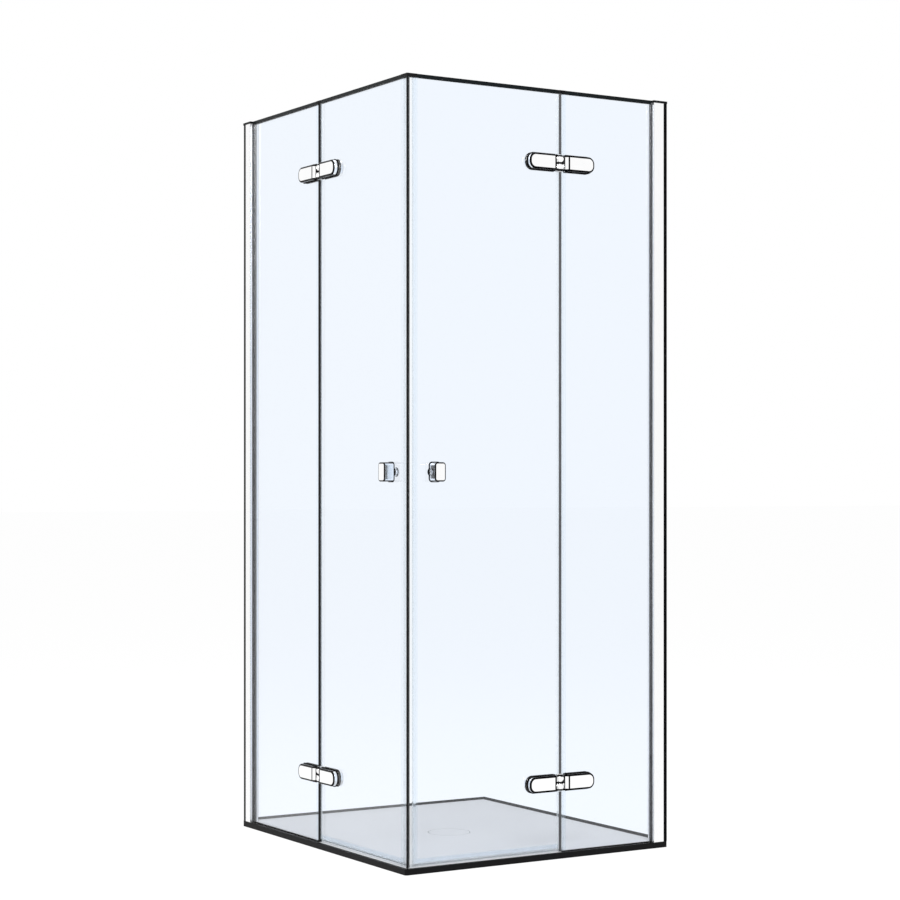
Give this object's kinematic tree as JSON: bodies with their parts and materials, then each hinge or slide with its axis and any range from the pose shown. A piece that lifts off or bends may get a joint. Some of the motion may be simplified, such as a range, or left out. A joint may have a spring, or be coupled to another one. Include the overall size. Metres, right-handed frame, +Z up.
{
  "type": "corner shower enclosure",
  "caption": "Frameless corner shower enclosure with fixed glass panes, glass doors that meet at the corner, wall profiles, clamp hinges, knobs and a low tray.",
  "frame": {"origin": "centre of the waste hole at the tray's underside", "axes": "+Z up; the left side's glass lies along Y at the -X edge and the right side's along X at the -Y edge, so the entry corner is at -X -Y and the walls are at +X and +Y"},
  "size_m": [0.818, 0.918, 1.965],
  "materials": {
    "tray": "matt gel-coated mineral composite",
    "waste_cover": "matt, colour matched to the tray",
    "glass": "clear toughened glass with a faint blue tint",
    "profile": "bright silver anodised",
    "wall_section": "black anodised",
    "threshold": "matt, colour matched to the tray",
    "cap": "black, fine moulded grain",
    "chrome": "polished chrome on brass",
    "steel": "stainless, turned",
    "gasket": "black EPDM",
    "bush": "black acetal",
    "seal": "clear PVC, with dark soft lips and bulbs",
    "magnet": "dark magnetic rubber"
  },
  "bodies": {
    "enclosure": {"shower_tray": "tray", "waste_cover": "waste_cover", "profile_caps": "cap", "profile_lock_screws": "steel", "glass_beds": "seal", "threshold_strips": "threshold", "left_wall_profile": "wall_section", "left_adjusting_profile": "profile", "left_fixed_glass": "glass", "left_glazing_gaskets": "gasket", "left_hinge_seal": "seal", "left_hinge_pins": "steel", "left_hinge_fixed_pads": "gasket", "left_hinge_fixed_screws": "steel", "left_lower_hinge_fixed_leaf": "chrome", "left_lower_hinge_fixed_backplate": "chrome", "left_upper_hinge_fixed_leaf": "chrome", "left_upper_hinge_fixed_backplate": "chrome", "right_wall_profile": "wall_section", "right_adjusting_profile": "profile", "right_fixed_glass": "glass", "right_glazing_gaskets": "gasket", "right_hinge_seal": "seal", "right_hinge_pins": "steel", "right_hinge_fixed_pads": "gasket", "right_hinge_fixed_screws": "steel", "right_lower_hinge_fixed_leaf": "chrome", "right_lower_hinge_fixed_backplate": "chrome", "right_upper_hinge_fixed_leaf": "chrome", "right_upper_hinge_fixed_backplate": "chrome"},
    "left_door": {"left_door_glass": "glass", "left_hinge_bushes": "bush", "left_hinge_door_pads": "gasket", "left_hinge_door_screws": "steel", "left_magnet_carrier": "seal", "left_magnet_strip": "magnet", "left_bottom_seal": "seal", "left_knob_outer": "chrome", "left_knob_inner": "chrome", "left_knob_stud": "steel", "left_knob_washers": "gasket", "left_lower_hinge_door_leaf": "chrome", "left_lower_hinge_door_backplate": "chrome", "left_upper_hinge_door_leaf": "chrome", "left_upper_hinge_door_backplate": "chrome"},
    "right_door": {"right_door_glass": "glass", "right_hinge_bushes": "bush", "right_hinge_door_pads": "gasket", "right_hinge_door_screws": "steel", "right_magnet_carrier": "seal", "right_magnet_strip": "magnet", "right_bottom_seal": "seal", "right_knob_outer": "chrome", "right_knob_inner": "chrome", "right_knob_stud": "steel", "right_knob_washers": "gasket", "right_lower_hinge_door_leaf": "chrome", "right_lower_hinge_door_backplate": "chrome", "right_upper_hinge_door_leaf": "chrome", "right_upper_hinge_door_backplate": "chrome"}
  },
  "joints": [
    {"name": "left_door_swing", "type": "hinge", "parent": "enclosure", "child": "left_door", "pos_m": [-0.386, 0.014, 1], "axis": [0, 0, -1], "range_deg": [0, 90]},
    {"name": "right_door_swing", "type": "hinge", "parent": "enclosure", "child": "right_door", "pos_m": [0.064, -0.436, 1], "axis": [0, 0, 1], "range_deg": [0, 90]}
  ]
}
